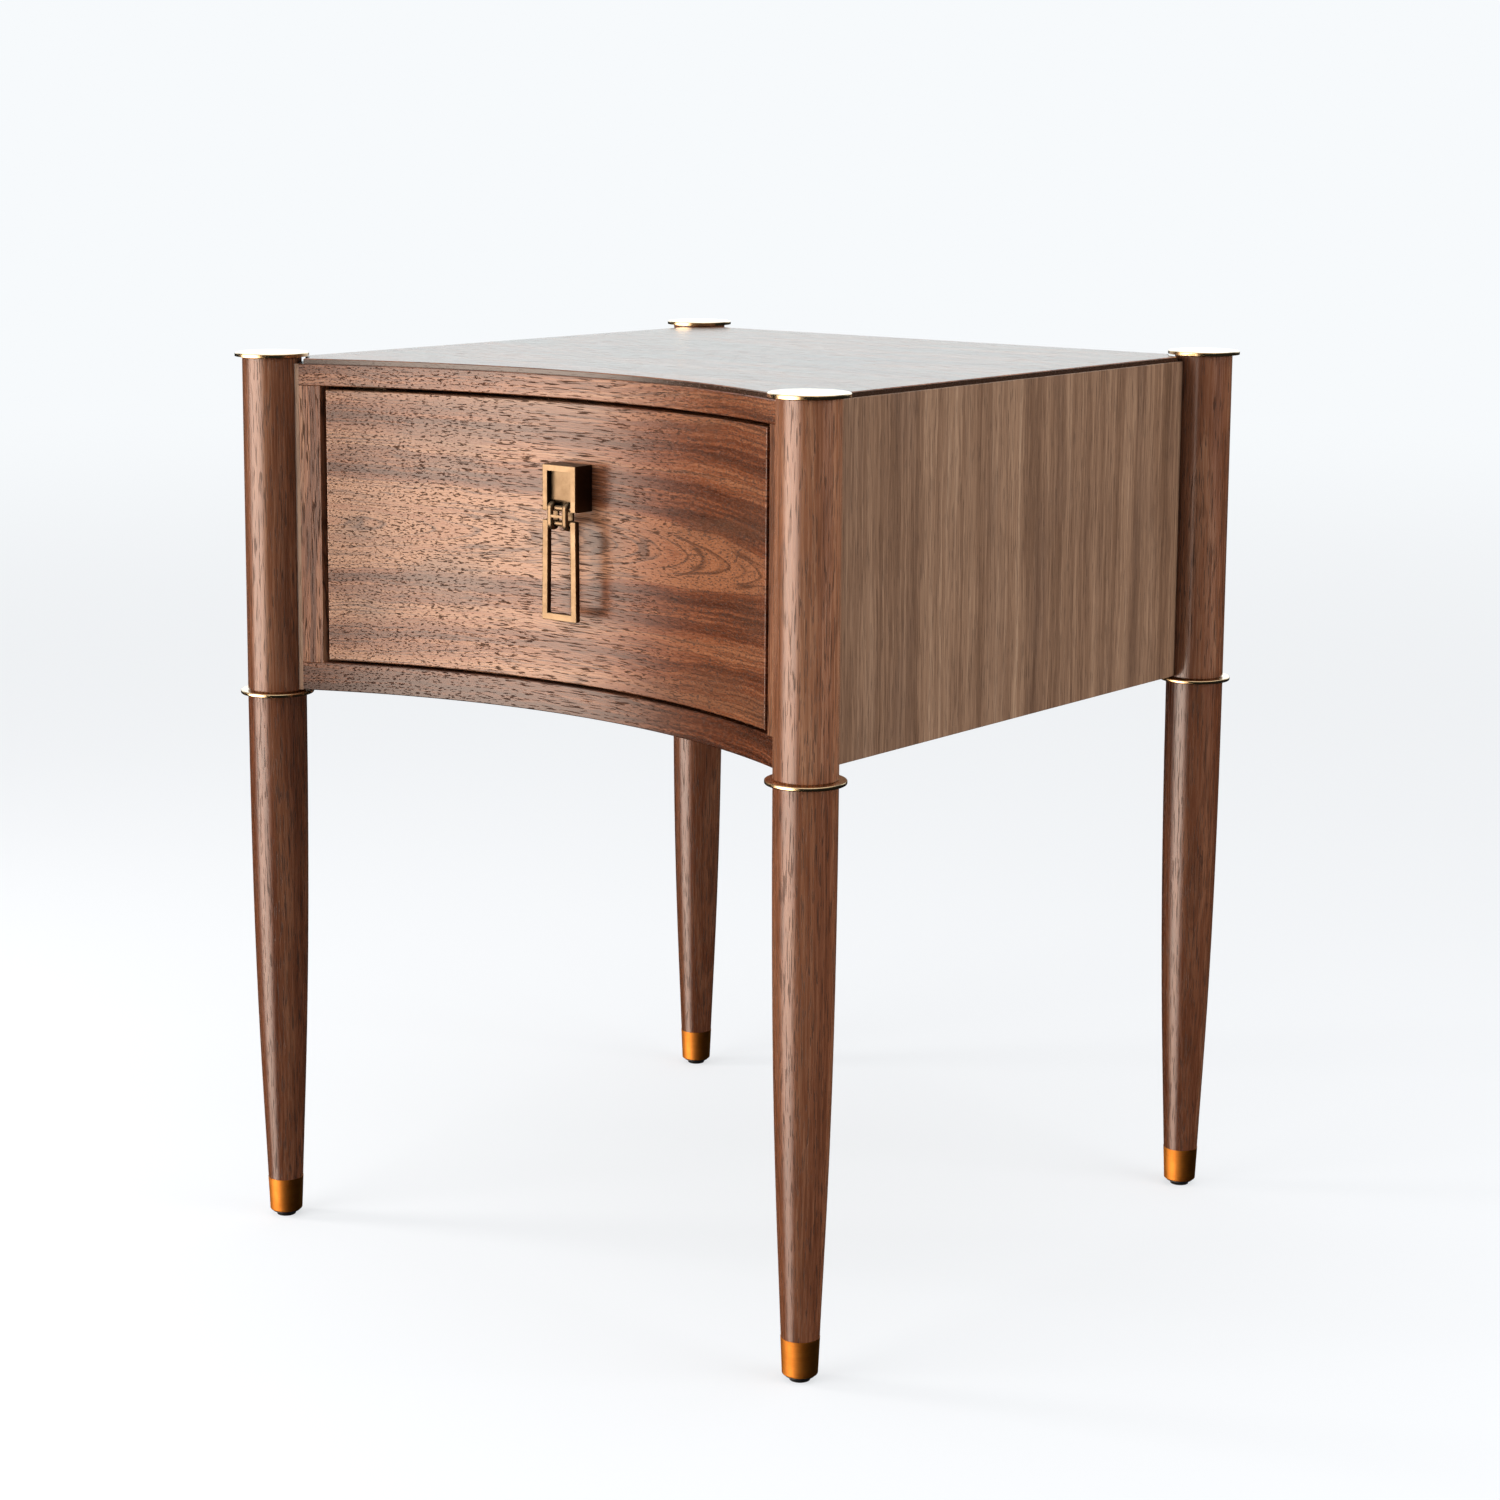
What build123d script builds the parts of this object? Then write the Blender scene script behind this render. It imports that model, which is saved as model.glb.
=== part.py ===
from build123d import *
import os
from math import sqrt

# Side table with one drawer. Four round posts stand at the corners of a case whose front is
# concave in plan. A brass disc caps each post, and a brass washer parts it from a tapered leg.
# Frame: +Z up, origin on the floor under the centre of the case, the drawer opens towards -Y.

os.makedirs("parts", exist_ok=True)

# ---- Posts, legs and feet ------------------------------------------------------------------
table_height = 610.0        # top of the corner discs
post_axis = 229.0           # each post's axis from the centre planes, along X and along Y
post_radius = 20.0
post_ease = 1.0             # bevel round both ends of a post
disc_radius = 25.0          # corner discs and mid washers share one diameter
disc_thickness = 2.5
disc_edge = 0.8
disc_pin_radius = 4.0
disc_pin_length = 24.0
post_bottom = 378.0
leg_top = post_bottom - disc_thickness
post_top = table_height - disc_thickness
leg_shape = [(19.75, 311.0), (18.3, 201.0), (15.5, 109.0)]  # radius and height down the leg
leg_foot_slope = 0.04       # how fast the leg narrows where it meets the ferrule
leg_step = 0.2              # the ferrule stands this proud of the wood
ferrule_top = 28.0
ferrule_top_radius = 12.3
ferrule_foot_radius = 11.2
ferrule_wall = 1.2
ferrule_round = 1.0
glide_height = 4.0
glide_rim = 3.0             # height where the glide's domed edge ends
glide_radius = 9.5
glide_flat_radius = 6.5
glide_nail_radius = 1.6
glide_nail_length = 18.0
glide_nail_tip = 1.0
hanger_bolt_radius = 4.0
hanger_bolt_length = 64.0
hanger_bolt_bottom = 334.0
hanger_bolt_ease = 1.2
insert_radius = 6.5
insert_length = 16.0

# ---- Case ----------------------------------------------------------------------------------
case_bottom = 379.5
case_top = 603.0            # upper edge of the sides, back and front frame
panel_face = 224.0          # outer face of the side and back panels from the centre planes
panel_thickness = 18.0
panel_inside = panel_face - panel_thickness
panel_reach = 240.0         # before the concave front cuts the side panels' front ends
panel_ease = 0.6
joint_gap = 0.15            # hairline between a panel's hollow end and the round post
face_radius = 457.0         # concave front, seen from above
face_middle = -177.3        # Y of the front's deepest point
face_centre = face_middle - face_radius
face_thickness = 20.0
stile_inner = 192.7         # half the width of the drawer's opening
opening_bottom = 398.9
opening_top = 588.3
top_surface = 606.5
top_underside = 588.5
top_lip = 222.0             # half width of the thin lip that shows above the case
top_setback = 2.0           # the lip's front edge behind the front frame's face
top_notch_gap = 0.3         # round the corner discs, which are wider than the posts
top_ease = 0.6
bottom_panel_low = 384.0
bottom_panel_thickness = 9.0
groove_depth = 5.0
groove_gap = 0.1
dowel_radius = 4.0
dowel_length = 36.0
dowel_outer_end = 228.5
dowel_ease = 0.8
dowel_heights = (412.0, 490.0, 568.0)
block_side = 40.0
block_height = 20.0
front_block_corner = -184.0
rear_block_corner = 205.8

# ---- Drawer --------------------------------------------------------------------------------
drawer_gap_side = 3.4
drawer_front_low = 400.9
drawer_front_high = 585.8
drawer_front_half = stile_inner - drawer_gap_side
drawer_ease = 0.8
box_half = 180.6            # outer face of the drawer's sides
box_board = 12.0
box_low = 412.0
box_high = 562.0
box_rear = 170.0
box_ease = 1.5              # rounded upper edges of the sides and back
drawer_floor_low = 420.0
drawer_floor_thickness = 5.0

# ---- Ball-bearing slides: distances are measured outwards from the drawer's side ------------
slide_height = 480.0        # centre line
slide_front = -188.0
slide_rear = 162.0
slide_width = 12.7
sheet = 1.2
packer_half_height = 30.0
packer_front = -186.0
packer_rear = 200.0
cabinet_rail = (slide_width, 4.0, 22.5)     # web's outer face, flange ends, half height
middle_rail = (9.9, 2.0, 16.5)
drawer_rail = (0.0, 6.3, 10.5)
outer_cage = (11.0, 4.3, 19.2)
inner_cage = (7.9, 1.5, 13.2)
cage_sheet = 0.6
cage_front = -100.0
cage_rear = 60.0
ball_radius = 2.1
ball_hole_radius = 2.25
ball_pitch = 26.0
balls_in_row = 6
outer_ball = (7.3, 18.9)                    # distance from the drawer's side, offset up or down
inner_ball = (4.6, 12.9)

# ---- Screws --------------------------------------------------------------------------------
screw_radius = 2.0
screw_head_radius = 3.7
screw_head_depth = 1.7
screw_tip = 1.2
case_screw_length = 28.0
drawer_screw_length = 10.0
slide_screw_places = (-160.0, -10.0, 140.0)
block_screw_inset = 12.0

# ---- Pull ----------------------------------------------------------------------------------
pull_depth = 16.7
pull_half_width = 14.2
pull_low = 516.6
pull_high = 546.8
pull_rim = 4.0
pull_recess = 4.0
pull_pocket = 7.2           # deeper part of the recess, where the links turn
pull_pocket_high = 523.7
pull_ease = 0.5
pull_standoff = 0.3         # the flat base spans the hollow of the drawer's face
pull_back = face_middle - pull_standoff
pull_front = face_middle - pull_depth
bar_radius = 2.0
bar_bite = 0.5              # each bar's end runs into the metal beside it
bar_y = pull_front + bar_radius
upper_bar_z = 518.7
lower_bar_z = 508.8
link_clearance = 0.3
link_thickness = 2.2
link_width = 4.4
link_places = (-6.4, 6.4)
link_outer_round = 1.7      # the links look like beads from the front
link_inner_round = 0.3
link_web = 1.6              # flat piece between the links' front walls, which makes them one part
link_web_height = 1.6
ring_low = 445.0
ring_high = lower_bar_z + bar_radius
ring_top_half = 14.2
ring_low_half = 15.0
ring_bar = 4.8
ring_depth = 4.0
ring_corner = 1.0
ring_ease = 0.6
pull_screw_heights = (527.0, 539.0)
pull_screw_bite = 7.0

corners = {
    "front_left": (-post_axis, -post_axis),
    "front_right": (post_axis, -post_axis),
    "rear_right": (post_axis, post_axis),
    "rear_left": (-post_axis, post_axis),
}
sides = {"left": -1, "right": 1}


def save(builder, name):
    """Label a finished sub-part and write its STEP file."""
    builder.part.label = name
    export_step(builder.part, f"parts/{name}.step")


def front_curve(half_width, setback):
    """Arc across the concave front, set back from the face, from -X to +X."""
    radius = face_radius + setback
    end_y = face_centre + sqrt(radius**2 - half_width**2)
    return ThreePointArc((-half_width, end_y), (0, face_centre + radius), (half_width, end_y))


def curved_band(height, half_width, front, back):
    """Plan of a plank that follows the concave front between two setbacks."""
    with BuildSketch(Plane.XY.offset(height)) as band:
        with BuildLine():
            near = front_curve(half_width, front)
            far = front_curve(half_width, back)
            Line(near @ 0, far @ 0)
            Line(near @ 1, far @ 1)
        make_face()
    return band.sketch


def curved_board(height, half_width, front, rear_y):
    """Plan of a board with the concave front edge and a straight back edge."""
    with BuildSketch(Plane.XY.offset(height)) as board:
        with BuildLine():
            near = front_curve(half_width, front)
            Polyline(near @ 0, (-half_width, rear_y), (half_width, rear_y), near @ 1)
        make_face()
    return board.sketch


def upright_plane(x, y):
    """Vertical plane through a post's axis: local x is the radius, local y the height."""
    return Plane(origin=(x, y, 0), x_dir=(1, 0, 0), z_dir=(0, -1, 0))


def post_line(x, y):
    return Axis((x, y, 0), (0, 0, 1))


# ---- Fasteners first, because the wood is cut to them ----------------------------------------
def countersunk_screw(plane, length):
    """Screw whose flat head lies in the plane and whose shank runs along the plane's normal."""
    with BuildPart(mode=Mode.PRIVATE) as screw:
        with BuildSketch(plane):
            Circle(screw_radius)
        extrude(amount=length)
        with BuildSketch(plane):
            Circle(screw_head_radius)
        with BuildSketch(plane.offset(screw_head_depth)):
            Circle(screw_radius)
        loft()
        tip = screw.faces().sort_by(Axis(plane.origin, plane.z_dir))[-1]
        chamfer(tip.edges(), length=screw_tip)
    return screw.part


block_corners = [
    (side * panel_inside, y, -side, 1 if y < 0 else -1)
    for side in sides.values()
    for y in (front_block_corner, rear_block_corner)
]

with BuildPart() as case_screws:
    for x, y, inward_x, inward_y in block_corners:
        head = (x + inward_x * block_screw_inset, y + inward_y * block_screw_inset)
        add(countersunk_screw(Plane((*head, top_underside - block_height)), case_screw_length))
    for side in sides.values():
        for y in slide_screw_places:
            web = (side * (box_half + slide_width - sheet), y, slide_height)
            add(countersunk_screw(Plane(web, z_dir=(side, 0, 0)), case_screw_length))
save(case_screws, "case_screws")

with BuildPart() as drawer_screws:
    for side in sides.values():
        for y in slide_screw_places:
            web = (side * (box_half + sheet), y, slide_height)
            add(countersunk_screw(Plane(web, z_dir=(-side, 0, 0)), drawer_screw_length))
save(drawer_screws, "drawer_screws")

with BuildPart() as pull_screws:
    for z in pull_screw_heights:
        head = (0, face_middle + face_thickness, z)
        length = face_thickness + pull_screw_bite
        add(countersunk_screw(Plane(head, x_dir=(1, 0, 0), z_dir=(0, -1, 0)), length))
save(pull_screws, "pull_screws")

with BuildPart() as case_dowels:
    for x, y in corners.values():
        for z in dowel_heights:
            inwards = (0, -1 if y > 0 else 1, 0)
            outer_end = (x / post_axis * (panel_face + panel_inside) / 2,
                         y / post_axis * dowel_outer_end, z)
            with BuildSketch(Plane(outer_end, z_dir=inwards)):
                Circle(dowel_radius)
            extrude(amount=dowel_length)
    chamfer(case_dowels.edges().filter_by(GeomType.CIRCLE), length=dowel_ease)
save(case_dowels, "case_dowels")

with BuildPart() as hanger_bolts:
    with BuildSketch(Plane.XY.offset(hanger_bolt_bottom)):
        with Locations(*corners.values()):
            Circle(hanger_bolt_radius)
    extrude(amount=hanger_bolt_length)
    chamfer(hanger_bolts.edges().filter_by(GeomType.CIRCLE), length=hanger_bolt_ease)
save(hanger_bolts, "hanger_bolts")

with BuildPart() as threaded_inserts:
    with BuildSketch(Plane.XY.offset(post_bottom + post_ease)):
        with Locations(*corners.values()):
            Circle(insert_radius)
            Circle(hanger_bolt_radius, mode=Mode.SUBTRACT)
    extrude(amount=insert_length)
save(threaded_inserts, "threaded_inserts")

# ---- Corner posts, discs, washers, legs and feet ---------------------------------------------
for corner, (x, y) in corners.items():
    upright = upright_plane(x, y)

    with BuildPart() as disc:
        with BuildSketch(Plane((x, y, post_top))):
            Circle(disc_radius)
        extrude(amount=disc_thickness)
        fillet(disc.faces().sort_by(Axis.Z)[-1].edges(), radius=disc_edge)
        with BuildSketch(Plane((x, y, post_top))):
            Circle(disc_pin_radius)
        extrude(amount=-disc_pin_length)
    save(disc, f"top_disc_{corner}")

    with BuildPart() as post:
        with BuildSketch(Plane((x, y, post_bottom))):
            Circle(post_radius)
        extrude(amount=post_top - post_bottom)
        chamfer(post.edges().filter_by(GeomType.CIRCLE), length=post_ease)
        add(disc.part, mode=Mode.SUBTRACT)
        add(case_dowels.part, mode=Mode.SUBTRACT)
        with BuildSketch(Plane((x, y, post_bottom))):
            Circle(insert_radius)
        extrude(amount=post_ease + insert_length, mode=Mode.SUBTRACT)
        with BuildSketch(Plane((x, y, post_bottom))):
            Circle(hanger_bolt_radius)
        extrude(amount=hanger_bolt_bottom + hanger_bolt_length - post_bottom, mode=Mode.SUBTRACT)
    save(post, f"post_{corner}")

    with BuildPart() as washer:
        with BuildSketch(Plane((x, y, leg_top))):
            Circle(disc_radius)
            Circle(hanger_bolt_radius, mode=Mode.SUBTRACT)
        extrude(amount=disc_thickness)
        rims = washer.edges().filter_by(GeomType.CIRCLE).group_by(SortBy.RADIUS)[-1]
        fillet(rims, radius=disc_edge)
    save(washer, f"mid_washer_{corner}")

    with BuildPart() as ferrule:
        with BuildSketch(upright):
            with BuildLine():
                Polyline((glide_nail_radius, glide_height), (ferrule_foot_radius, glide_height),
                         (ferrule_top_radius, ferrule_top),
                         (ferrule_top_radius - ferrule_wall, ferrule_top),
                         (ferrule_foot_radius - ferrule_wall, glide_height + ferrule_wall),
                         (glide_nail_radius, glide_height + ferrule_wall),
                         close=True)
            make_face()
        revolve(axis=post_line(x, y))
        foot_rims = ferrule.edges().filter_by(GeomType.CIRCLE).group_by(Axis.Z)[0]
        fillet(foot_rims.sort_by(SortBy.RADIUS)[-1], radius=ferrule_round)
    save(ferrule, f"ferrule_{corner}")

    with BuildPart() as leg:
        with BuildSketch(upright):
            with BuildLine():
                spigot_top = ferrule_top_radius - ferrule_wall
                spigot_foot = ferrule_foot_radius - ferrule_wall
                side_line = Spline((post_radius, leg_top), *leg_shape,
                                   (ferrule_top_radius - leg_step, ferrule_top),
                                   tangents=[(0, -1), (-leg_foot_slope, -1)])
                Polyline(side_line @ 1, (spigot_top, ferrule_top),
                         (spigot_foot, glide_height + ferrule_wall),
                         (0, glide_height + ferrule_wall), (0, leg_top), side_line @ 0)
            make_face()
        revolve(axis=post_line(x, y))
        add(hanger_bolts.part, mode=Mode.SUBTRACT)
        with BuildSketch(Plane((x, y, glide_height))):
            Circle(glide_nail_radius)
        extrude(amount=glide_nail_length, mode=Mode.SUBTRACT)
    save(leg, f"leg_{corner}")

    with BuildPart() as glide:
        with BuildSketch(upright):
            with BuildLine():
                edge = RadiusArc((glide_flat_radius, 0), (glide_radius, glide_rim),
                                 glide_height, short_sagitta=True)
                Polyline(edge @ 1, (glide_radius, glide_height), (glide_nail_radius, glide_height),
                         (glide_nail_radius, glide_height + glide_nail_length - glide_nail_tip),
                         (0, glide_height + glide_nail_length), (0, 0), edge @ 0)
            make_face()
        revolve(axis=post_line(x, y))
    save(glide, f"glide_{corner}")

# ---- Case panels -----------------------------------------------------------------------------
for name, side in sides.items():
    with BuildPart() as panel:
        with BuildSketch(Plane.XY.offset(case_bottom)):
            with Locations((side * (panel_face + panel_inside) / 2, (panel_face - panel_reach) / 2)):
                Rectangle(panel_thickness, panel_face + panel_reach)
            with Locations(*corners.values()):
                Circle(post_radius + joint_gap, mode=Mode.SUBTRACT)
            with Locations((0, face_centre)):
                Circle(face_radius, mode=Mode.SUBTRACT)
        extrude(amount=case_top - case_bottom)
        outer = panel.faces().sort_by(Axis.X)[0 if side < 0 else -1]
        fillet(outer.edges().filter_by(Axis.Y), radius=panel_ease)
        with BuildSketch(Plane.XY.offset(bottom_panel_low - groove_gap)):
            Rectangle(2 * (panel_inside + groove_depth), 2 * (panel_inside + groove_depth))
        extrude(amount=bottom_panel_thickness + 2 * groove_gap, mode=Mode.SUBTRACT)
        add(case_dowels.part, mode=Mode.SUBTRACT)
        add(case_screws.part, mode=Mode.SUBTRACT)
    save(panel, f"side_panel_{name}")

    with BuildPart() as packer:
        with BuildSketch(Plane.XZ.offset(-packer_rear)):
            inner, outer = box_half + slide_width, panel_inside
            with Locations((side * (inner + outer) / 2, slide_height)):
                Rectangle(outer - inner, 2 * packer_half_height)
        extrude(amount=packer_rear - packer_front)
        add(case_screws.part, mode=Mode.SUBTRACT)
    save(packer, f"slide_packer_{name}")

    with BuildPart() as stile:
        band = curved_band(opening_bottom, panel_inside, 0, face_thickness)
        extrude(band, amount=opening_top - opening_bottom)
        with Locations((-side * panel_inside, 0, slide_height)):
            Box(2 * (panel_inside + stile_inner), 2 * panel_reach, table_height,
                mode=Mode.SUBTRACT)
    save(stile, f"front_stile_{name}")

with BuildPart() as back_panel:
    with BuildSketch(Plane.XY.offset(case_bottom)):
        with Locations((0, (panel_face + panel_inside) / 2)):
            Rectangle(2 * panel_inside, panel_thickness)
    extrude(amount=case_top - case_bottom)
    outer = back_panel.faces().sort_by(Axis.Y)[-1]
    fillet(outer.edges().filter_by(Axis.X), radius=panel_ease)
    with BuildSketch(Plane.XY.offset(bottom_panel_low - groove_gap)):
        Rectangle(2 * panel_face, 2 * (panel_inside + groove_depth))
    extrude(amount=bottom_panel_thickness + 2 * groove_gap, mode=Mode.SUBTRACT)
save(back_panel, "back_panel")

with BuildPart() as bottom_panel:
    board = curved_board(bottom_panel_low, panel_inside + groove_depth - groove_gap,
                         face_thickness + groove_gap, panel_inside + groove_depth - groove_gap)
    extrude(board, amount=bottom_panel_thickness)
save(bottom_panel, "bottom_panel")

for name, low, high in (("bottom", case_bottom, opening_bottom), ("top", opening_top, case_top)):
    with BuildPart() as rail:
        extrude(curved_band(low, panel_inside, 0, face_thickness), amount=high - low)
        face = rail.faces().sort_by_distance((0, face_middle, (low + high) / 2))[0]
        chamfer(face.edges().filter_by(GeomType.CIRCLE), length=panel_ease)
    save(rail, f"front_rail_{name}")

with BuildPart() as top_panel:
    extrude(curved_board(case_top, top_lip, top_setback, top_lip), amount=top_surface - case_top)
    with BuildSketch(Plane.XY.offset(case_top)):
        with Locations(*corners.values()):
            Circle(disc_radius + top_notch_gap)
    extrude(amount=top_surface - case_top, mode=Mode.SUBTRACT)
    chamfer(top_panel.faces().sort_by(Axis.Z)[-1].edges(), length=top_ease)
    core = curved_board(top_underside, panel_inside - groove_gap, face_thickness + groove_gap,
                        panel_inside - groove_gap)
    extrude(core, amount=case_top - top_underside)
    add(case_screws.part, mode=Mode.SUBTRACT)
save(top_panel, "top_panel")

with BuildPart() as corner_blocks:
    with BuildSketch(Plane.XY.offset(top_underside - block_height)):
        for x, y, inward_x, inward_y in block_corners:
            with BuildLine():
                Polyline((x, y), (x + inward_x * block_side, y), (x, y + inward_y * block_side),
                         close=True)
            make_face()
    extrude(amount=block_height)
    add(case_screws.part, mode=Mode.SUBTRACT)
save(corner_blocks, "corner_blocks")

# ---- Drawer box ------------------------------------------------------------------------------
with BuildPart() as drawer_front:
    band = curved_band(drawer_front_low, drawer_front_half, 0, face_thickness)
    extrude(band, amount=drawer_front_high - drawer_front_low)
    middle = (drawer_front_low + drawer_front_high) / 2
    face = drawer_front.faces().sort_by_distance((0, face_middle, middle))[0]
    fillet(face.edges(), radius=drawer_ease)
    groove = curved_band(drawer_floor_low - groove_gap, box_half - box_board + groove_depth,
                         face_thickness - groove_depth, face_thickness)
    extrude(groove, amount=drawer_floor_thickness + 2 * groove_gap, mode=Mode.SUBTRACT)
    add(pull_screws.part, mode=Mode.SUBTRACT)
save(drawer_front, "drawer_front")

for name, side in sides.items():
    with BuildPart() as drawer_side:
        extrude(curved_board(box_low, box_half, face_thickness, box_rear), amount=box_high - box_low)
        with Locations((-side * box_board, 0, (box_low + box_high) / 2)):
            Box(2 * box_half, 2 * panel_face, box_high, mode=Mode.SUBTRACT)
        with BuildSketch(Plane.XY.offset(drawer_floor_low - groove_gap)):
            Rectangle(2 * (box_half - box_board + groove_depth), 2 * panel_face)
        extrude(amount=drawer_floor_thickness + 2 * groove_gap, mode=Mode.SUBTRACT)
        top_edges = drawer_side.faces().sort_by(Axis.Z)[-1].edges().filter_by(Axis.Y)
        fillet(top_edges, radius=box_ease)
        add(drawer_screws.part, mode=Mode.SUBTRACT)
    save(drawer_side, f"drawer_side_{name}")

with BuildPart() as drawer_back:
    floor_top = drawer_floor_low + drawer_floor_thickness + groove_gap
    with BuildSketch(Plane.XY.offset(floor_top)):
        with Locations((0, box_rear - box_board / 2)):
            Rectangle(2 * (box_half - box_board), box_board)
    extrude(amount=box_high - floor_top)
    fillet(drawer_back.faces().sort_by(Axis.Z)[-1].edges().filter_by(Axis.X), radius=box_ease)
save(drawer_back, "drawer_back")

with BuildPart() as drawer_floor:
    board = curved_board(drawer_floor_low, box_half - box_board + groove_depth - groove_gap,
                         face_thickness - groove_depth + groove_gap, box_rear)
    extrude(board, amount=drawer_floor_thickness)
save(drawer_floor, "drawer_floor")

# ---- Drawer slides ---------------------------------------------------------------------------
def channel(side, profile, wall, front, rear):
    """C-shaped strip along Y; profile gives the web's outer face, flange ends and half height."""
    web, flange_end, half_height = profile
    web_inner = web - wall if web > flange_end else web + wall
    with BuildSketch(Plane.XZ.offset(-rear)) as section:
        with Locations((side * (box_half + (web + flange_end) / 2), slide_height)):
            Rectangle(abs(web - flange_end), 2 * half_height)
        with Locations((side * (box_half + (web_inner + flange_end) / 2), slide_height)):
            Rectangle(abs(web_inner - flange_end), 2 * (half_height - wall), mode=Mode.SUBTRACT)
    return extrude(section.sketch, amount=rear - front, mode=Mode.PRIVATE)


slide_rails = {"cabinet": cabinet_rail, "middle": middle_rail, "drawer": drawer_rail}
ball_cages = {"outer": (outer_cage, outer_ball), "inner": (inner_cage, inner_ball)}
ball_rows = [(cage_front + cage_rear) / 2 + (i - (balls_in_row - 1) / 2) * ball_pitch
             for i in range(balls_in_row)]

for name, side in sides.items():
    for member, profile in slide_rails.items():
        with BuildPart() as slide_rail:
            add(channel(side, profile, sheet, slide_front, slide_rear))
            add(case_screws.part, mode=Mode.SUBTRACT)
            add(drawer_screws.part, mode=Mode.SUBTRACT)
        save(slide_rail, f"{member}_rail_{name}")

    for member, (profile, (ball_x, ball_z)) in ball_cages.items():
        with BuildPart() as cage:
            add(channel(side, profile, cage_sheet, cage_front, cage_rear))
            centres = [(side * (box_half + ball_x), y, slide_height + offset)
                       for y in ball_rows for offset in (-ball_z, ball_z)]
            with Locations(*centres):
                Cylinder(ball_hole_radius, 2 * ball_radius, mode=Mode.SUBTRACT)
                Sphere(ball_radius)
        save(cage, f"{member}_ball_cage_{name}")

# ---- Pull ------------------------------------------------------------------------------------
with BuildPart() as pull_base:
    with BuildSketch(Plane.XZ.offset(-pull_back)):
        with Locations((0, (pull_low + pull_high) / 2)):
            Rectangle(2 * pull_half_width, pull_high - pull_low)
    extrude(amount=pull_back - pull_front)
    fillet(pull_base.faces().sort_by(Axis.Y)[0].edges(), radius=pull_ease)
    recess_half = pull_half_width - pull_rim
    for floor_depth, high in ((pull_recess, pull_high - pull_rim), (pull_pocket, pull_pocket_high)):
        with BuildSketch(Plane.XZ.offset(-pull_front)):
            with Locations((0, (pull_low + high) / 2)):
                Rectangle(2 * recess_half, high - pull_low)
        extrude(amount=-floor_depth, mode=Mode.SUBTRACT)
    with BuildSketch(Plane.YZ):
        with Locations((bar_y, upper_bar_z)):
            Circle(bar_radius)
    extrude(amount=recess_half + bar_bite, both=True)
    add(pull_screws.part, mode=Mode.SUBTRACT)
save(pull_base, "pull_base")

with BuildPart() as pull_links:
    for x in link_places:
        with BuildSketch(Plane.YZ.offset(x - link_width / 2)):
            with Locations((bar_y, (upper_bar_z + lower_bar_z) / 2)):
                hole = 2 * (bar_radius + link_clearance)
                spread = upper_bar_z - lower_bar_z
                SlotCenterToCenter(spread, hole + 2 * link_thickness, rotation=90)
                SlotCenterToCenter(spread, hole, rotation=90, mode=Mode.SUBTRACT)
        extrude(amount=link_width)
    for flat_face in pull_links.faces().filter_by(Axis.X):
        fillet(flat_face.outer_wire().edges(), radius=link_outer_round)
    for flat_face in pull_links.faces().filter_by(Axis.X):
        fillet(flat_face.inner_wires()[0].edges(), radius=link_inner_round)
    web_y = bar_y - (hole + link_thickness) / 2
    with Locations((0, web_y, (upper_bar_z + lower_bar_z) / 2)):
        Box(link_places[1] - link_places[0], link_web, link_web_height)
save(pull_links, "pull_links")

with BuildPart() as pull_ring:
    with BuildSketch(Plane.XZ.offset(-(pull_front + ring_depth))):
        with BuildLine():
            Polyline((-ring_low_half, ring_low), (ring_low_half, ring_low),
                     (ring_top_half, ring_high), (-ring_top_half, ring_high), close=True)
        outline = make_face()
        fillet(outline.vertices(), radius=ring_corner)
        with BuildLine():
            Polyline((-ring_low_half + ring_bar, ring_low + ring_bar),
                     (ring_low_half - ring_bar, ring_low + ring_bar),
                     (ring_top_half - ring_bar, ring_high + ring_bar),
                     (-ring_top_half + ring_bar, ring_high + ring_bar), close=True)
        make_face(mode=Mode.SUBTRACT)
    extrude(amount=ring_depth)
    fillet(pull_ring.faces().filter_by(Axis.Y).edges(), radius=ring_ease)
    with BuildSketch(Plane.YZ):
        with Locations((bar_y, lower_bar_z)):
            Circle(bar_radius)
    extrude(amount=ring_top_half - ring_bar + bar_bite, both=True)
save(pull_ring, "pull_ring")
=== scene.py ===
from math import cos, pi, radians, sin, sqrt

import bpy
from mathutils import Matrix, Vector


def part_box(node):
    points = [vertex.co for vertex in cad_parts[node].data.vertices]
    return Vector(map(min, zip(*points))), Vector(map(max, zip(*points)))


# Looks of the side table: materials on the CAD nodes, studio light, floor and camera. Metres.
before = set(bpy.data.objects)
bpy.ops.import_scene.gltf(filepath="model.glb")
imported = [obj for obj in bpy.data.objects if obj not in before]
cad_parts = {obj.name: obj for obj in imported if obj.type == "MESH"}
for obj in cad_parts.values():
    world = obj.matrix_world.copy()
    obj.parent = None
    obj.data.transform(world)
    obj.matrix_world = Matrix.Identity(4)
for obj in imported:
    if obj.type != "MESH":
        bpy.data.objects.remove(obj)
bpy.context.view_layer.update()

mm = 0.001
panel_low, panel_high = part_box("side_panel_right")
drawer_low, drawer_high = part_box("drawer_front")
drawer_middle = (drawer_low.z + drawer_high.z) / 2
pull_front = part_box("pull_base")[0].y
post_low, post_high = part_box("post_front_right")
post_radius = (post_high.x - post_low.x) / 2
post_middle = post_high.x - post_radius
# A panel's outer face runs into the round post this far from the table's middle.
panel_end = post_middle - sqrt(post_radius ** 2 - (panel_high.x - post_middle) ** 2)


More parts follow.
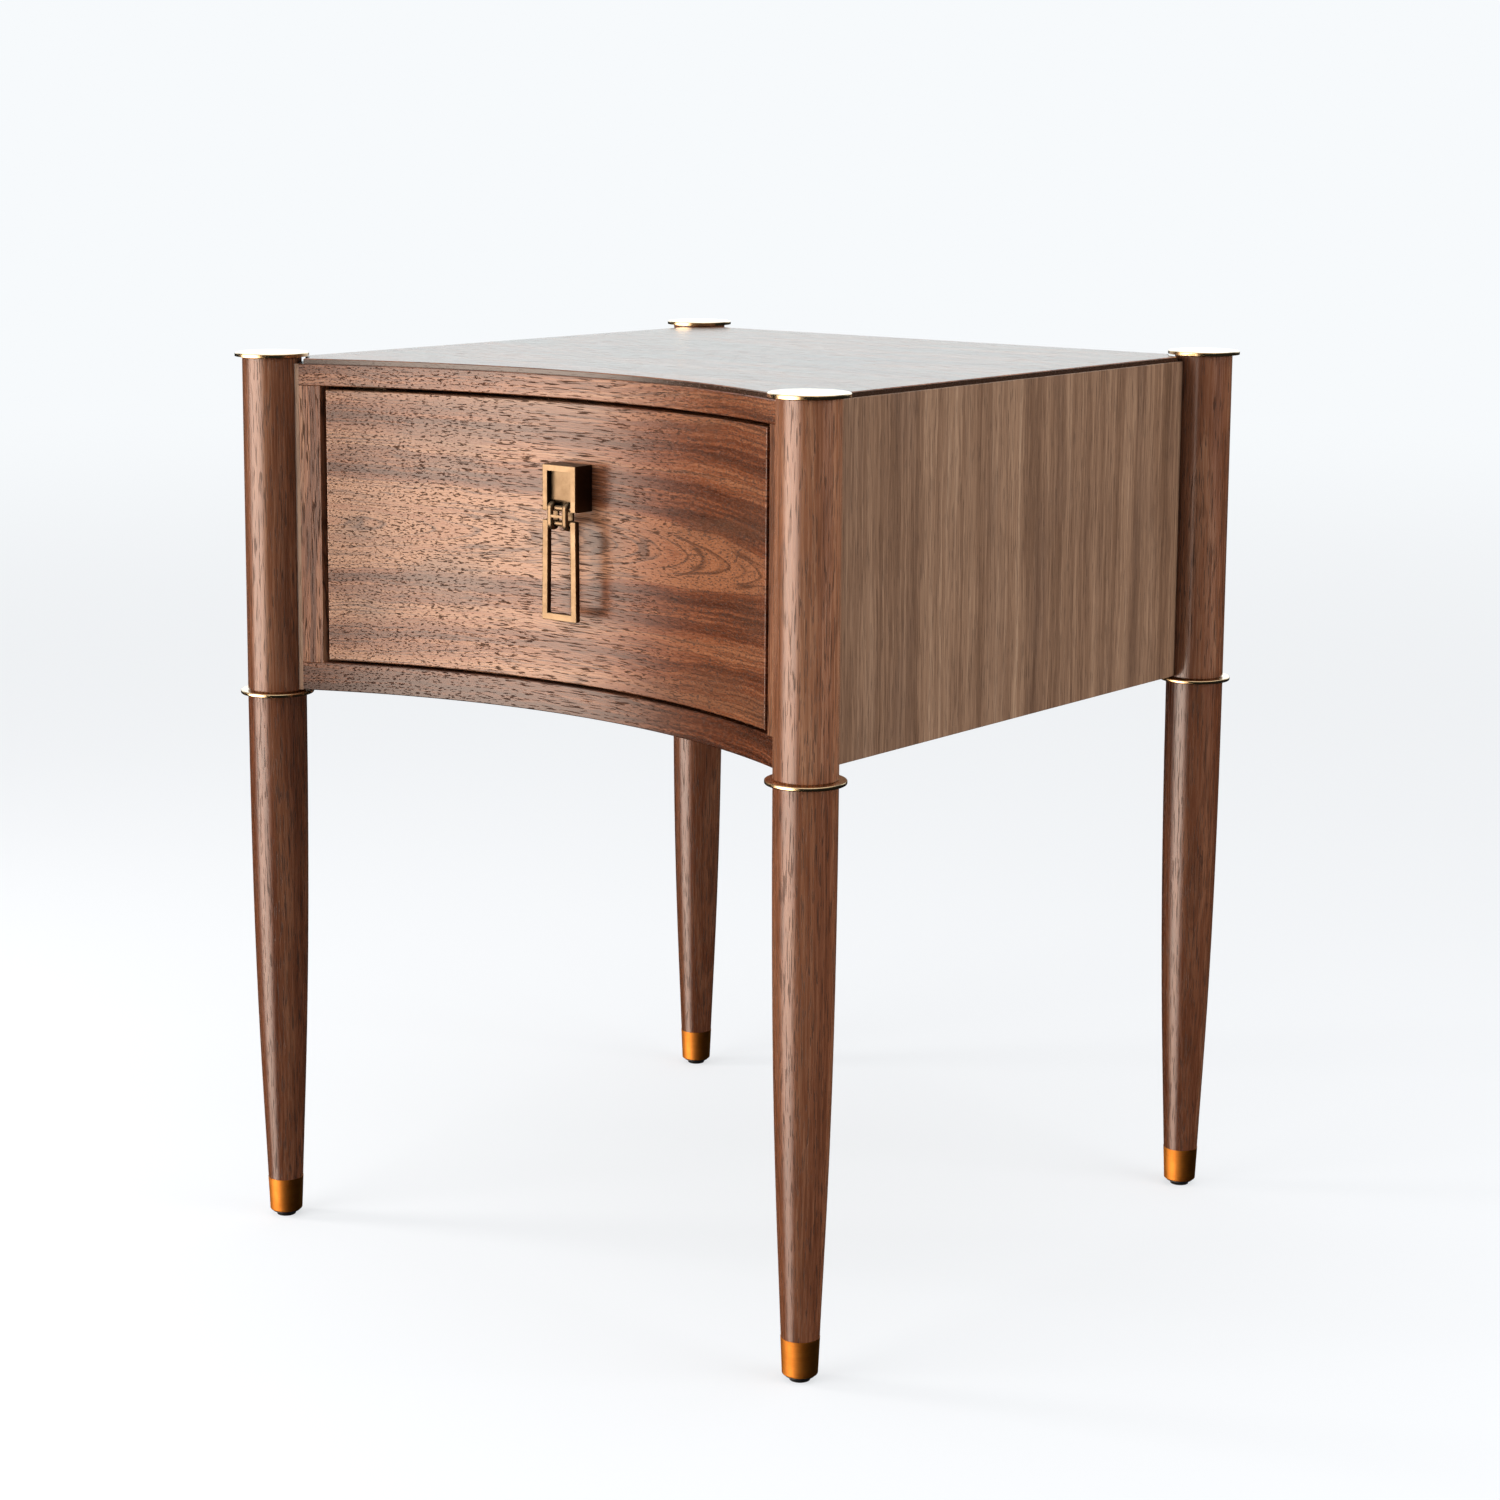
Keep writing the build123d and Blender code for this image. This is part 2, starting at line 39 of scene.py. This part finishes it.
# ---- Short calls for building materials ------------------------------------------------------
class Tree:
    """The nodes of a material or world, with the shader that is ready to be fed."""

    def __init__(self, owner, shader):
        owner.use_nodes = True
        self.owner = owner
        self.nodes = owner.node_tree.nodes
        self.links = owner.node_tree.links
        self.shader = self.nodes[shader]

    def feed(self, socket, value):
        """Link a socket to another one, or give it a plain value."""
        if isinstance(value, bpy.types.NodeSocket):
            self.links.new(value, socket)
        else:
            socket.default_value = value

    def add(self, kind, output=0, settings=None, **inputs):
        """Add a node. An input is named by its label, with _ for a space, or by its number as iN."""
        node = self.nodes.new(kind)
        for key, value in (settings or {}).items():
            setattr(node, key, value)
        for key, value in inputs.items():
            label = int(key[1:]) if key[0] == "i" and key[1:].isdigit() else key.replace("_", " ")
            self.feed(node.inputs[label], value)
        return node.outputs[output]

    def maths(self, operation, a, b=0.0, c=0.0):
        return self.add("ShaderNodeMath", settings={"operation": operation}, i0=a, i1=b, i2=c)

    def position(self):
        return self.add("ShaderNodeTexCoord", output="Object")

    def facing(self):
        """The surface's own direction, in the row frame."""
        return self.add("ShaderNodeTexCoord", output="Normal")

    def parts_of(self, vector):
        node = self.nodes.new("ShaderNodeSeparateXYZ")
        self.links.new(vector, node.inputs[0])
        return node.outputs

    def vector(self, x, y, z):
        return self.add("ShaderNodeCombineXYZ", i0=x, i1=y, i2=z)

    def scaled(self, vector, factors):
        return self.add("ShaderNodeVectorMath", settings={"operation": "MULTIPLY"},
                        i0=vector, i1=factors)

    def noise(self, vector, detail=2.0, roughness=0.5, distortion=0.0):
        return self.add("ShaderNodeTexNoise", Vector=vector, Scale=1.0, Detail=detail,
                        Roughness=roughness, Distortion=distortion)

    def streaks(self, wood, along, across, detail=2.0, roughness=0.5, distortion=0.0):
        """Noise drawn out with the grain: about so many marks a metre along and across it."""
        return self.noise(self.scaled(wood, (along, across, across)), detail, roughness, distortion)

    def spread(self, value, low, high, out_low=0.0, out_high=1.0):
        """Stretch a value from one range to another and stop at the ends."""
        return self.add("ShaderNodeMapRange", settings={"interpolation_type": "SMOOTHSTEP"},
                        Value=value, From_Min=low, From_Max=high, To_Min=out_low, To_Max=out_high)

    def ramp(self, value, stops):
        """Colour ramp through (place, colour) stops."""
        node = self.nodes.new("ShaderNodeValToRGB")
        self.links.new(value, node.inputs[0])
        elements = node.color_ramp.elements
        while len(elements) < len(stops):
            elements.new(0.5)
        for element, (place, colour) in zip(elements, stops):
            element.position = place
            element.color = (*colour, 1.0)
        return node.outputs[0]

    def mix(self, factor, a, b, blend="MIX"):
        node = self.nodes.new("ShaderNodeMix")
        node.data_type = "RGBA"
        node.blend_type = blend
        self.feed(node.inputs[0], factor)
        for socket, value in ((node.inputs[6], a), (node.inputs[7], b)):
            self.feed(socket, (*value, 1.0) if isinstance(value, tuple) else value)
        return node.outputs[2]

    def bump(self, height, depth):
        """Bump whose height runs from 0 to 1 over depth metres."""
        return self.add("ShaderNodeBump", Strength=1.0, Distance=depth, Height=height)

    def surface(self, **inputs):
        """Feed the shader's own sockets, named with _ for a space."""
        for key, value in inputs.items():
            self.feed(self.shader.inputs[key.replace("_", " ")], value)
        return self.owner


def material_tree(name):
    return Tree(bpy.data.materials.new(name), "Principled BSDF")


# ---- Wood --------------------------------------------------------------------------------------
walnut_dark = (0.055, 0.019, 0.009)
walnut_brown = (0.150, 0.054, 0.025)
walnut_tan = (0.285, 0.115, 0.057)
walnut_light = (0.430, 0.215, 0.120)
walnut_grey = (0.170, 0.100, 0.068)
walnut_pore = (0.020, 0.008, 0.004)
walnut_edge = (0.040, 0.019, 0.011)
walnut_tones = [(0.05, walnut_dark), (0.35, walnut_brown), (0.62, walnut_tan), (0.95, walnut_light)]
panel_tones = [(0.0, (0.110, 0.056, 0.031)), (0.4, (0.235, 0.130, 0.077)),
               (0.7, (0.340, 0.200, 0.122)), (1.0, (0.450, 0.285, 0.185))]
ripple = 4 * mm               # how far the small waves move a growth ring
figure_reach = 100 * mm       # a figure is drawn out to this distance from the heart
walnut_relief = 0.14 * mm     # from the bottom of a pore to the top of a fibre


def grain_space(tree, order):
    """Position as along, across and depth, where order names the frame's axes, such as xzy."""
    x_y_z = dict(zip("xyz", tree.parts_of(tree.position())))
    return [x_y_z[axis] for axis in order]


def tree_rings(tree, along, across, depth, heart, lean, solid, sway):
    """Distance from the tree's heart line, which lies across and in depth and leans along."""
    wood = tree.vector(along, across, depth)
    slow = tree.streaks(wood, along=4.0, across=14.0)
    quick = tree.streaks(wood, along=28.0, across=90.0)
    shift = tree.maths("MULTIPLY_ADD", slow, 2 * sway, -sway)
    shift = tree.maths("MULTIPLY_ADD", quick, ripple, shift)
    from_heart = tree.maths("ADD", tree.maths("SUBTRACT", across, heart[0]), shift)
    deep = tree.maths("MULTIPLY_ADD", along, lean, -heart[1])
    deep = tree.maths("MULTIPLY_ADD", depth, solid, deep)
    return tree.maths("SQRT", tree.maths("ADD", tree.maths("POWER", from_heart, 2.0),
                                         tree.maths("POWER", deep, 2.0)))


def ring_noise(tree, ring, along, outwards, lengthways, seed, detail):
    """Noise that follows the rings: about so many marks a metre outwards and lengthways."""
    place = tree.vector(tree.maths("MULTIPLY", ring, outwards),
                        tree.maths("MULTIPLY", along, lengthways), seed)
    return tree.noise(place, detail=detail)


def open_pores(tree, wood, growth, strength):
    """Short dashes along the grain, closest together where the fine growth lines are pale."""
    dashes = tree.streaks(wood, along=60.0, across=1200.0, detail=1.5)
    level = tree.maths("MULTIPLY_ADD", growth, -0.22, 0.70)
    return tree.spread(tree.maths("SUBTRACT", dashes, level), 0.0, 0.04, 0.0, strength)


def hairlines(tree, growth, strength):
    """Thin lines where the fine growth pattern passes its middle value."""
    off_line = tree.maths("ABSOLUTE", tree.maths("SUBTRACT", growth, 0.5))
    return tree.spread(off_line, 0.0, 0.045, strength, 0.0)


def figure_shade(tree, ring, figure):
    """Shade added at each distance from the heart, given as (part of figure_reach, shade)."""
    place = tree.maths("MULTIPLY", ring, 1 / figure_reach)
    greys = [(at, (shade, shade, shade)) for at, shade in figure]
    return tree.parts_of(tree.ramp(place, greys))[0]


def other_corners(tree):
    """1 at three of the table's corners and 0 at the front right one."""
    x, y = tree.parts_of(tree.position())[:2]
    return tree.spread(tree.maths("SUBTRACT", x, y), post_middle * 1.5, post_middle)


def painted_joint_shadow(tree, across, depth, end):
    """Painted shadow line at the end of a panel, where it runs into a post, on whichever of the two
    directions runs along its face.
    """
    sideways = tree.maths("MINIMUM", tree.maths("ABSOLUTE", across),
                          tree.maths("ABSOLUTE", depth))
    return tree.spread(sideways, end - 2 * mm, end - 1 * mm, 0.0, 0.8)


def faces_up(tree):
    """1 where the surface looks upward and 0 on its sides."""
    return tree.spread(tree.parts_of(tree.facing())[2], 0.25, 0.5)


def walnut(name, order, heart=(0.0, 0.05), lean=0.0, solid=1.0, sway=12 * mm, tones=walnut_tones,
           bands=1.7, lines=1.2, hairs=0.8, grey=0.35, pores=1.0, gloss=0.27, coat=0.0, seed=0.0,
           paler=0.0, climb=0.0, figure=None, drift=None, corner_shade=None, joint=None, edge=False):
    """Lacquered walnut: growth bands, fine lines, hairlines, grey patches and open pores.

    heart is the tree's middle, across and in depth, from which the rings are counted. It comes
    nearer by lean along the piece, and solid tells how far depth counts. The rings wander by
    sway. bands, lines, hairs, grey and pores are strengths, paler lightens the whole piece, and
    climb lightens it more and more across. The last five belong to single pieces: figure adds
    shade round the heart, drift changes the tone along the grain, boards paints shade on three
    of the corners, joint paints a shadow line at a panel's ends, and edge darkens all but the
    upper face."""
    tree = material_tree(name)
    along, across, depth = grain_space(tree, order)
    wood = tree.vector(along, across, depth)
    ring = tree_rings(tree, along, across, depth, heart, lean, solid, sway)
    band = ring_noise(tree, ring, along, outwards=62.0, lengthways=1.2, seed=seed, detail=1.5)
    growth = ring_noise(tree, ring, along, outwards=430.0, lengthways=6.0, seed=seed + 7.0,
                        detail=2.0)
    fibres = tree.streaks(wood, along=20.0, across=800.0, detail=3.0, roughness=0.6)
    pore = open_pores(tree, wood, growth, pores)
    hairline = hairlines(tree, growth, hairs)

    shade = tree.maths("MULTIPLY_ADD", band, bands, 0.5 - bands / 2 + paler)
    shade = tree.maths("MULTIPLY_ADD", tree.maths("SUBTRACT", across, heart[0]), climb, shade)
    if figure:
        shade = tree.maths("ADD", shade, figure_shade(tree, ring, figure))
    shade = tree.maths("MULTIPLY_ADD", tree.maths("SUBTRACT", growth, 0.5), lines, shade)
    shade = tree.maths("MULTIPLY_ADD", tree.maths("SUBTRACT", fibres, 0.5), 0.7, shade)
    colour = tree.ramp(shade, tones)

    patches = tree.streaks(wood, along=7.0, across=30.0)
    colour = tree.mix(tree.spread(patches, 0.48, 0.68, 0.0, grey), colour, walnut_grey)
    if drift:
        start, end, tone = drift
        colour = tree.mix(tree.spread(along, start, end), colour, tone, "MULTIPLY")
    colour = tree.mix(hairline, colour, walnut_dark)
    colour = tree.mix(tree.maths("MULTIPLY", pore, 0.8), colour, walnut_pore)
    # painted shade on three of the table's corners
    if corner_shade:
        colour = tree.mix(other_corners(tree), colour, corner_shade, "MULTIPLY")
    # painted shadow line where a panel runs into a post
    if joint is not None:
        colour = tree.mix(painted_joint_shadow(tree, across, depth, joint), colour, walnut_dark)
    if edge:
        colour = tree.mix(faces_up(tree), walnut_edge, colour)

    rough = tree.maths("MULTIPLY_ADD", fibres, 0.12, gloss - 0.06)
    rough = tree.maths("MULTIPLY_ADD", pore, 0.55, rough)
    height = tree.maths("MULTIPLY_ADD", pore, -1.0, tree.maths("MULTIPLY", fibres, 0.35))
    return tree.surface(Base_Color=colour, Roughness=rough, Specular_IOR_Level=0.5,
                        Coat_Weight=coat, Coat_Roughness=0.12,
                        Normal=tree.bump(height, walnut_relief))


def pale_wood(name, order, dark, light):
    """Maple or poplar with a fine straight grain and faint flecks."""
    tree = material_tree(name)
    along, across, depth = grain_space(tree, order)
    wood = tree.vector(along, across, depth)
    bands = tree.streaks(wood, along=3.0, across=60.0, detail=3.0, distortion=0.3)
    fibres = tree.streaks(wood, along=25.0, across=900.0)
    flecks = tree.spread(tree.streaks(wood, along=260.0, across=1500.0), 0.66, 0.74)
    shade = tree.maths("MULTIPLY_ADD", tree.maths("SUBTRACT", fibres, 0.5), 0.5, bands)
    colour = tree.ramp(shade, [(0.3, dark), (0.7, light)])
    fleck_tone = tuple(0.6 * part for part in dark)
    colour = tree.mix(tree.maths("MULTIPLY", flecks, 0.45), colour, fleck_tone)
    rough = tree.maths("MULTIPLY_ADD", fibres, 0.15, 0.42)
    return tree.surface(Base_Color=colour, Roughness=rough, Normal=tree.bump(fibres, 0.05 * mm))


def plywood(name, face_tones, ply_tones):
    """Birch plywood: a face veneer with open grain, and plies where the surface is an edge."""
    tree = material_tree(name)
    x, y, z = grain_space(tree, "xyz")
    wood = tree.vector(x, y, z)
    clouds = tree.streaks(wood, along=9.0, across=70.0, detail=4.0, distortion=0.8)
    fibres = tree.streaks(wood, along=40.0, across=1100.0)
    shade = tree.maths("MULTIPLY_ADD", tree.maths("SUBTRACT", fibres, 0.5), 0.4, clouds)
    veneer = tree.ramp(shade, [(0.3, face_tones[0]), (0.7, face_tones[1])])
    plies = tree.spread(tree.maths("SINE", tree.maths("MULTIPLY", z, 3600.0)), -0.3, 0.3)
    edge = tree.mix(plies, *ply_tones)
    upward = tree.maths("ABSOLUTE", tree.parts_of(tree.facing())[2])
    colour = tree.mix(tree.spread(upward, 0.4, 0.6), edge, veneer)
    rough = tree.maths("MULTIPLY_ADD", fibres, 0.15, 0.45)
    return tree.surface(Base_Color=colour, Roughness=rough, Normal=tree.bump(fibres, 0.05 * mm))


# ---- Metal and nylon ---------------------------------------------------------------------------
fine_relief = 0.01 * mm


def painted_pull_shade(tree, place, front):
    """Grey that leaves the face at Y = front alone and paints shade on what looks aside or lies
    behind.
    """
    y = tree.parts_of(place)[1]
    aside = tree.spread(tree.parts_of(tree.facing())[1], -0.65, -0.10, 0.0, 0.72)
    aside = tree.maths("MULTIPLY", aside, tree.spread(y, front, front + 1.5 * mm))
    behind = tree.spread(y, front + 2 * mm, front + 3 * mm, 1.0, 0.75)
    grey = tree.maths("MULTIPLY", tree.maths("SUBTRACT", 1.0, aside), behind)
    return tree.vector(grey, grey, grey)


def brass(name, bright, deep, rough, brush=(60.0, 60.0, 2600.0), relief=fine_relief, coat=0.0,
          front=None):
    """Brass with fine brush lines, faint clouding and a little tarnish.

    brush is about how many strokes a metre there are along each axis. With front, the Y of its
    front face, the piece is bright there and has painted shade on its sides and behind."""
    tree = material_tree(name)
    place = tree.position()
    clouds = tree.noise(tree.scaled(place, (70.0, 70.0, 70.0)), detail=4.0, roughness=0.6)
    strokes = tree.noise(tree.scaled(place, brush), detail=3.0, roughness=0.7)
    tarnish = tree.spread(tree.maths("MULTIPLY_ADD", strokes, 0.35, clouds), 0.45, 0.95)
    colour = tree.mix(tarnish, bright, deep)
    roughness = tree.maths("MULTIPLY_ADD", clouds, 0.12, rough - 0.06)
    roughness = tree.maths("MULTIPLY_ADD", strokes, 0.10, roughness)
    if front is not None:
        # painted shade on the pull's sides and behind its front face
        colour = tree.mix(1.0, colour, painted_pull_shade(tree, place, front), "MULTIPLY")
    return tree.surface(Base_Color=colour, Metallic=1.0, Roughness=roughness, Coat_Weight=coat,
                        Coat_Roughness=0.08, Normal=tree.bump(strokes, relief))


def zinc_steel(name, dull, bright):
    """Pressed steel with bright zinc: rolling lines along the strip and faint spangle."""
    tree = material_tree(name)
    place = tree.position()
    strokes = tree.noise(tree.scaled(place, (900.0, 20.0, 900.0)), detail=3.0)
    spangle = tree.add("ShaderNodeTexVoronoi", output="Color", Vector=place, Scale=260.0)
    spangle = tree.parts_of(spangle)[0]
    colour = tree.mix(spangle, dull, bright)
    roughness = tree.maths("MULTIPLY_ADD", strokes, 0.2, 0.24)
    roughness = tree.maths("MULTIPLY_ADD", spangle, 0.08, roughness)
    return tree.surface(Base_Color=colour, Metallic=0.6, Roughness=roughness,
                        Normal=tree.bump(strokes, fine_relief))


def black_nylon(name, black, scuffed):
    """Moulded black nylon with a fine spark-eroded texture and light scuffs."""
    tree = material_tree(name)
    place = tree.position()
    texture = tree.noise(tree.scaled(place, (2400.0, 2400.0, 2400.0)), detail=2.0)
    scuffs = tree.noise(tree.scaled(place, (300.0, 300.0, 80.0)), detail=4.0, roughness=0.7)
    colour = tree.mix(tree.spread(scuffs, 0.5, 0.8), black, scuffed)
    roughness = tree.maths("MULTIPLY_ADD", scuffs, 0.25, 0.38)
    return tree.surface(Base_Color=colour, Roughness=roughness,
                        Normal=tree.bump(texture, 0.03 * mm))


# ---- Materials on the CAD nodes ----------------------------------------------------------------
towards_right = (0.72, 0.54, 0.43)      # the front turns darker and redder to the right
leg_tone = (0.74, 0.64, 0.58)           # the legs are darker than the posts
painted_corner_shade = (0.70, 0.66, 0.64)         # painted shade: all but the front right corner are darker
leg_blend = 10 * mm                     # above and below the line between a post and its leg
drawer_heart = drawer_middle + 4 * mm   # the drawer front's flame figure is a little high
drawer_figure = [(0.0, 0.42), (0.30, 0.50), (0.37, 0.0), (0.50, 0.10), (0.60, 0.46),
                 (0.72, 0.04), (0.90, 0.34)]
finishes = {
    "walnut_turned": walnut("walnut_turned", "zxy", heart=(0.30, 0.16), lean=0.02, bands=1.0,
                            lines=0.7, hairs=0.3, grey=0.0, coat=0.25, paler=0.12, pores=0.8,
                            corner_shade=painted_corner_shade,
                            drift=(panel_low.z + leg_blend, panel_low.z - leg_blend, leg_tone)),
    "walnut_drawer": walnut("walnut_drawer", "xzy", heart=(drawer_heart, -20 * mm), lean=0.053,
                            solid=0.0, sway=9 * mm, bands=1.1, grey=0.5, paler=-0.10, climb=-0.7,
                            figure=drawer_figure, drift=(-0.02, 0.07, towards_right)),
    "walnut_front": walnut("walnut_front", "xzy", heart=(drawer_middle, 0.034), lean=0.03,
                           solid=0.0, grey=0.05, paler=-0.12, climb=1.8, seed=3.0,
                           drift=(0.02, 0.16, towards_right)),
    "walnut_stile": walnut("walnut_stile", "zxy", heart=(0.0, 0.10), lean=0.02, solid=0.0,
                           grey=0.1, paler=0.15, seed=5.0),
    "walnut_panel": walnut("walnut_panel", "zyx", heart=(0.9, 0.10), lean=0.01, solid=0.0,
                           sway=5 * mm, tones=panel_tones, bands=1.1, lines=0.9, hairs=0.35,
                           grey=0.25, pores=0.4, gloss=0.36, joint=panel_end),
    "walnut_top": walnut("walnut_top", "xyz", heart=(0.0, 0.10), lean=0.05, solid=0.0, gloss=0.24,
                         bands=0.8, grey=0.8, pores=0.2, hairs=0.1, coat=0.1, edge=True),
    "brass_disc": brass("brass_disc", bright=(0.90, 0.64, 0.35), deep=(0.74, 0.48, 0.23),
                        rough=0.18, coat=1.0),
    "brass_ferrule": brass("brass_ferrule", bright=(0.56, 0.205, 0.034),
                           deep=(0.40, 0.135, 0.020), rough=0.50),
    "brass_pull": brass("brass_pull", bright=(0.25, 0.175, 0.108), deep=(0.19, 0.128, 0.075),
                        rough=0.40, brush=(400.0, 400.0, 400.0), relief=0.02 * mm,
                        front=pull_front),
    "black_glide": black_nylon("black_glide", black=(0.012, 0.011, 0.011),
                               scuffed=(0.045, 0.042, 0.040)),
    "drawer_box_wood": pale_wood("drawer_box_wood", "yzx", dark=(0.50, 0.33, 0.18),
                                 light=(0.68, 0.50, 0.32)),
    "plywood": plywood("plywood", face_tones=((0.44, 0.28, 0.15), (0.66, 0.47, 0.29)),
                       ply_tones=((0.24, 0.13, 0.06), (0.60, 0.42, 0.25))),
    "inner_wood": pale_wood("inner_wood", "yzx", dark=(0.42, 0.28, 0.14),
                            light=(0.60, 0.45, 0.27)),
    "zinc_steel": zinc_steel("zinc_steel", dull=(0.50, 0.51, 0.53), bright=(0.66, 0.67, 0.68)),
}


def dress(node, material):
    for slot in node.material_slots:
        slot.material = material


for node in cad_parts.values():
    dress(node, finishes[node.material_slots[0].material.name])


# ---- Studio ------------------------------------------------------------------------------------
def pick(tree, ray_kind, yes, no):
    """Shader for one kind of ray, and another shader for the rest."""
    kind = tree.nodes.new("ShaderNodeLightPath").outputs[ray_kind]
    choice = tree.nodes.new("ShaderNodeMixShader")
    tree.links.new(kind, choice.inputs[0])
    tree.links.new(no, choice.inputs[1])
    tree.links.new(yes, choice.inputs[2])
    return choice.outputs[0]


def add_floor(half_side, tones, glow, background):
    """Pale matt floor. The camera sees it with an even glow that runs into the background."""
    mesh = bpy.data.meshes.new("floor")
    corners = [(-half_side, -half_side, 0), (half_side, -half_side, 0),
               (half_side, half_side, 0), (-half_side, half_side, 0)]
    mesh.from_pydata(corners, [], [(0, 1, 2, 3)])
    floor = bpy.data.objects.new("floor", mesh)
    floor.visible_glossy = False
    bpy.context.scene.collection.objects.link(floor)
    tree = material_tree("pale_floor")
    clouds = tree.noise(tree.scaled(tree.position(), (0.8, 0.8, 0.8)))
    colour = tree.mix(clouds, *tones)
    tree.surface(Base_Color=colour, Roughness=0.9, Specular_IOR_Level=0.0)
    lit = tree.nodes.new("ShaderNodeAddShader")
    tree.links.new(tree.shader.outputs[0], lit.inputs[0])
    tree.links.new(tree.add("ShaderNodeEmission", Color=(*glow, 1.0)), lit.inputs[1])
    far = tree.add("ShaderNodeVectorMath", "Value", {"operation": "LENGTH"}, i0=tree.position())
    fade = tree.nodes.new("ShaderNodeMixShader")
    tree.links.new(tree.spread(far, 1.2, 6.0), fade.inputs[0])
    tree.links.new(lit.outputs[0], fade.inputs[1])
    tree.links.new(tree.add("ShaderNodeEmission", Color=(*background, 1.0)), fade.inputs[2])
    both = pick(tree, "Is Camera Ray", fade.outputs[0], tree.shader.outputs[0])
    tree.links.new(both, tree.nodes["Material Output"].inputs["Surface"])
    mesh.materials.append(tree.owner)


def mirrored_light(tree, direction, azimuth, edge, core, radiance):
    """Soft bright patch of the studio, seen only in reflections, round one azimuth."""
    turn = radians(azimuth)
    towards = tree.add("ShaderNodeVectorMath", "Value", {"operation": "DOT_PRODUCT"},
                       i0=direction, i1=(sin(turn), -cos(turn), 0.0))
    return tree.spread(towards, cos(radians(edge)), cos(radians(core)), 0.0, radiance)


def add_world(seen, fill, window_tint, wall_tint):
    """Near-white background for the camera, a dim fill, and what polished surfaces mirror."""
    world = bpy.data.worlds.new("studio")
    bpy.context.scene.world = world
    tree = Tree(world, "Background")
    direction = tree.add("ShaderNodeTexCoord", "Generated")
    above = tree.spread(tree.parts_of(direction)[2], -0.02, 0.06)
    window = mirrored_light(tree, direction, azimuth=-25, edge=38, core=12, radiance=8.0)
    wall = mirrored_light(tree, direction, azimuth=-142, edge=70, core=25, radiance=1.38)
    wall = tree.maths("MULTIPLY", wall, above)
    mirrored = tree.maths("ADD", tree.maths("ADD", window, wall),
                          tree.maths("MULTIPLY_ADD", above, 0.05, 0.01))
    tint = tree.mix(tree.spread(window, 0.0, 2.0), wall_tint, window_tint)
    glossy = tree.add("ShaderNodeBackground", Color=tint, Strength=mirrored)
    shown = tree.add("ShaderNodeBackground", Color=(*seen, 1.0))
    tree.feed(tree.shader.inputs["Color"], (*fill, 1.0))
    lighting = pick(tree, "Is Glossy Ray", glossy, tree.shader.outputs[0])
    tree.links.new(pick(tree, "Is Camera Ray", shown, lighting),
                   tree.nodes["World Output"].inputs["Surface"])


def add_softbox(name, azimuth, distance, height, width, tall, radiance, colour=(1.0, 1.0, 1.0)):
    """Soft area light round the table; azimuth 0 is in front of the drawer, 90 on its right."""
    lamp = bpy.data.lights.new(name, "AREA")
    lamp.shape = "RECTANGLE"
    lamp.size, lamp.size_y = width, tall
    lamp.energy = radiance * pi * width * tall
    lamp.color = colour
    box = bpy.data.objects.new(name, lamp)
    turn = radians(azimuth)
    place = Vector((distance * sin(turn), -distance * cos(turn), height))
    box.rotation_euler = (Vector((0, 0, height)) - place).to_track_quat("-Z", "Y").to_euler()
    box.location = place
    box.visible_camera = False
    box.visible_glossy = False
    bpy.context.scene.collection.objects.link(box)


def add_sky_light(strength, spread):
    """Even light from above, soft enough to leave no hard shadow."""
    lamp = bpy.data.lights.new("sky_light", "SUN")
    lamp.energy = strength
    lamp.angle = radians(spread)
    bpy.context.scene.collection.objects.link(bpy.data.objects.new("sky_light", lamp))


def add_camera(place, turn, tilt, roll, lens, shift):
    """Camera turned from +Y about the vertical, tilted down and rolled, in degrees."""
    camera = bpy.data.objects.new("camera", bpy.data.cameras.new("camera"))
    camera.data.lens = lens
    camera.data.sensor_width = 36.0
    camera.data.shift_y = shift
    camera.data.clip_end = 500.0
    camera.matrix_world = (Matrix.Translation(place) @ Matrix.Rotation(radians(turn), 4, "Z")
                           @ Matrix.Rotation(radians(90 - tilt), 4, "X")
                           @ Matrix.Rotation(radians(roll), 4, "Z"))
    bpy.context.scene.collection.objects.link(camera)
    bpy.context.scene.camera = camera


background = (0.93, 0.955, 0.975)
add_floor(half_side=150.0, tones=((0.29, 0.30, 0.31), (0.31, 0.32, 0.33)),
          glow=(0.63, 0.64, 0.65), background=background)
add_world(seen=background, fill=(0.17, 0.17, 0.18), window_tint=(1.0, 0.86, 0.74),
          wall_tint=(0.91, 1.0, 1.02))
add_sky_light(strength=1.6, spread=90)
add_softbox("front", azimuth=-17, distance=1.6, height=0.85, width=1.1, tall=1.1, radiance=4.2,
            colour=(1.0, 0.98, 0.95))
add_softbox("key", azimuth=-58, distance=1.7, height=0.55, width=0.35, tall=0.35, radiance=42.0,
            colour=(1.0, 0.96, 0.92))
add_softbox("side", azimuth=100, distance=2.0, height=0.8, width=1.4, tall=1.4, radiance=4.0)
add_camera(place=Vector((1.312, -1.6568, 0.7668)), turn=38.271, tilt=8.897, roll=0.40,
           lens=73.42, shift=-0.10)
bpy.context.scene.view_settings.view_transform = "Standard"
